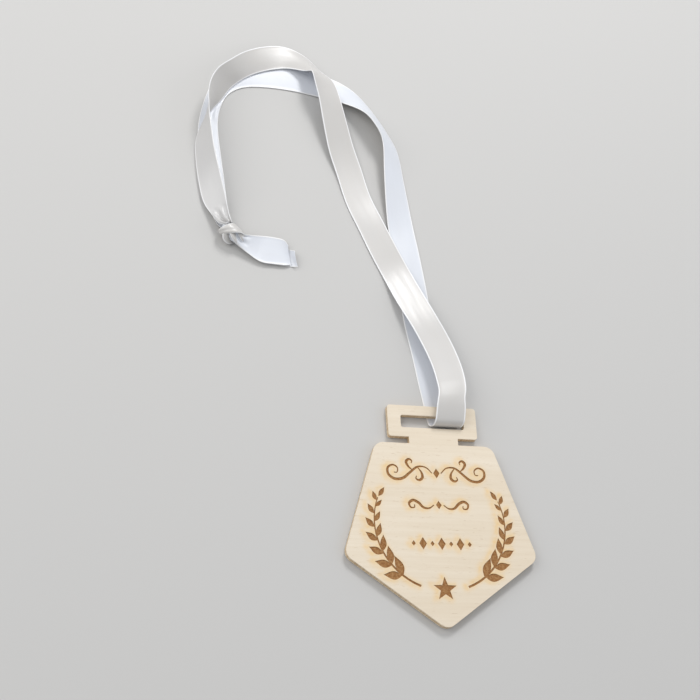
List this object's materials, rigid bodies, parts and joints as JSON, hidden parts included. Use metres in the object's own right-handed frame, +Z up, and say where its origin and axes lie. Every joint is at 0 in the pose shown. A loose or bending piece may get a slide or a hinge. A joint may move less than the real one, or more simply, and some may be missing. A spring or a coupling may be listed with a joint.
{
  "type": "wooden award medal on a ribbon",
  "caption": "Pentagon medal laser-cut from thin plywood, engraved with a laurel wreath and a star, hung by a slotted bar on a knotted loop of white satin ribbon.",
  "frame": {"origin": "on the table surface, under the middle of the wooden plate's bounding box", "axes": "+Z up, through the plate's thickness; +Y along the plate from the pentagon's point towards the slotted bar; +X to the right seen from the front"},
  "size_m": [0.1611, 0.3115, 0.0151],
  "materials": {
    "front_wood": "matte, laser engraved",
    "core_wood": "laser-cut edge, lightly toasted",
    "back_wood": "matte",
    "satin": "white satin"
  },
  "bodies": {
    "ribbon_loop": {"ribbon": "satin", "knot": "satin", "upper_tail": "satin", "lower_tail": "satin"},
    "plate": {"front_veneer": "front_wood", "core_ply": "core_wood", "back_veneer": "back_wood"}
  },
  "joints": [
    {"name": "plate_swing", "type": "hinge", "parent": "ribbon_loop", "child": "plate", "pos_m": [0, 0.05434, 0.0005], "axis": [-1, 0, 0], "range_deg": [0, 90]}
  ]
}
